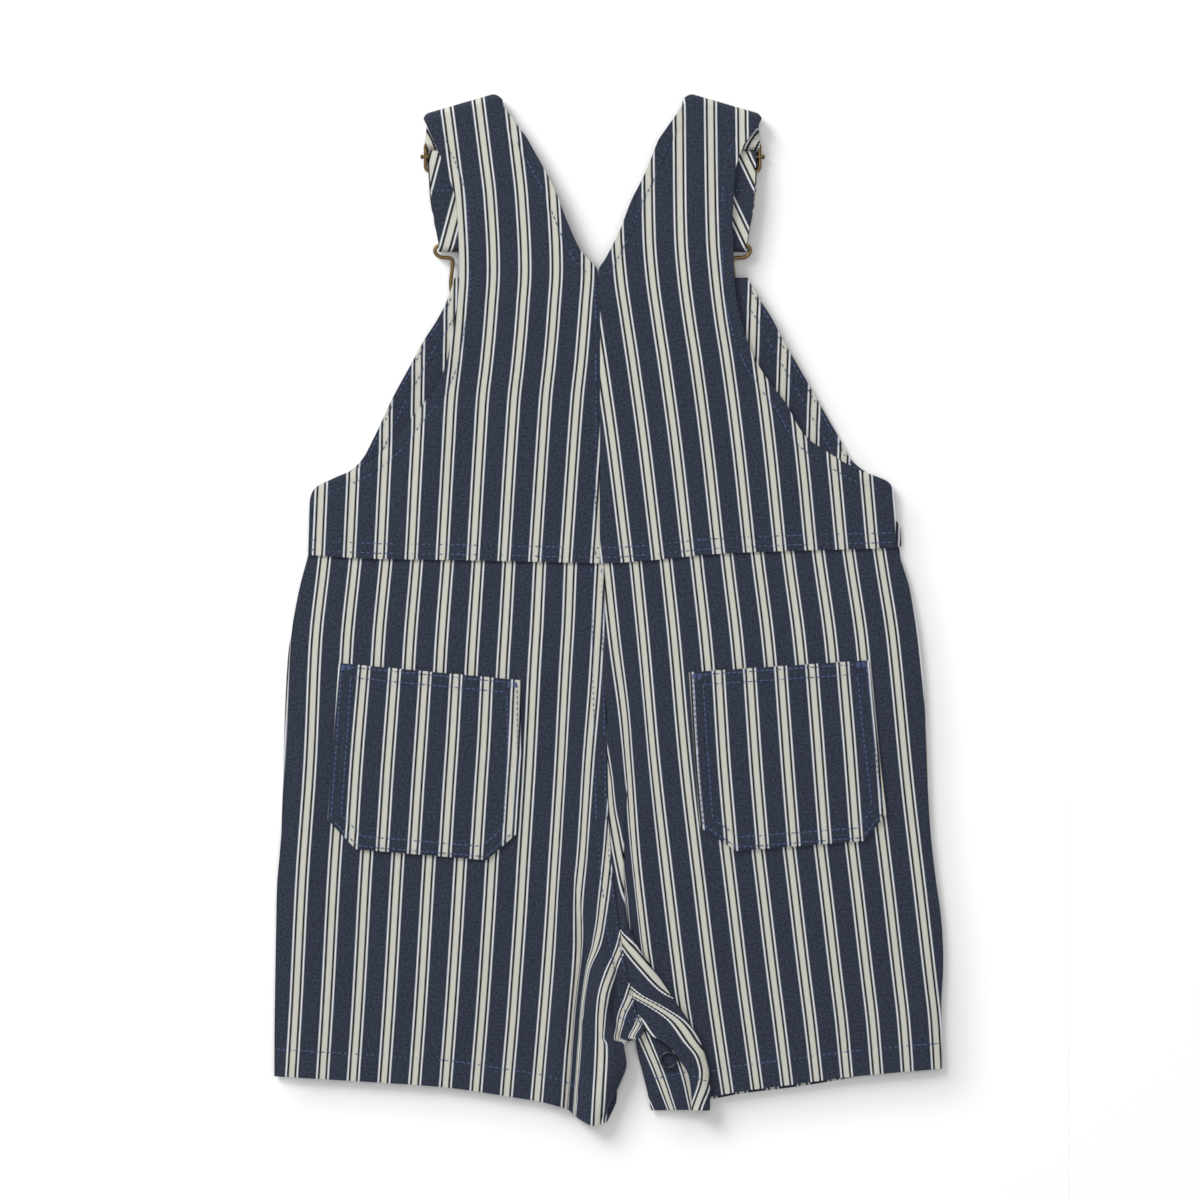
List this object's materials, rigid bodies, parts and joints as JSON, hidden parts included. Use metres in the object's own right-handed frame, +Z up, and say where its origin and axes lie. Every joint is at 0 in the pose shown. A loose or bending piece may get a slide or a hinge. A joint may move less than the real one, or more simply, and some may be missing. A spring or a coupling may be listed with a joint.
{
  "type": "kids' striped bib overalls with short legs, laid flat",
  "caption": "Child's short-legged bib overalls laid flat, back up, in striped twill, with hooked straps, patch pockets and a snapped inside leg.",
  "frame": {"origin": "on the surface that the garment lies on, below the middle of its outline", "axes": "+Y from the hems to the shoulders, +Z up out of the surface, +X to the wearer's right side"},
  "size_m": [0.3342, 0.5151, 0.0087],
  "materials": {
    "striped_twill": "matt navy cotton twill with woven cream stripes",
    "antique_brass": "dark antique brass wire",
    "dark_metal": "oxidised dark metal"
  },
  "bodies": {
    "root": {"back_bib_left": "striped_twill", "back_bib_right": "striped_twill", "front_bib": "striped_twill", "back_leg_left": "striped_twill", "back_leg_right": "striped_twill", "front_leg_left": "striped_twill", "front_leg_right": "striped_twill", "back_pocket_left": "striped_twill", "back_pocket_right": "striped_twill", "snap_placket": "striped_twill", "slider_left": "antique_brass", "slider_right": "antique_brass", "hook_left": "antique_brass", "hook_right": "antique_brass", "bib_button_left": "antique_brass", "bib_button_right": "antique_brass", "ring_snap": "dark_metal"}
  },
  "joints": []
}
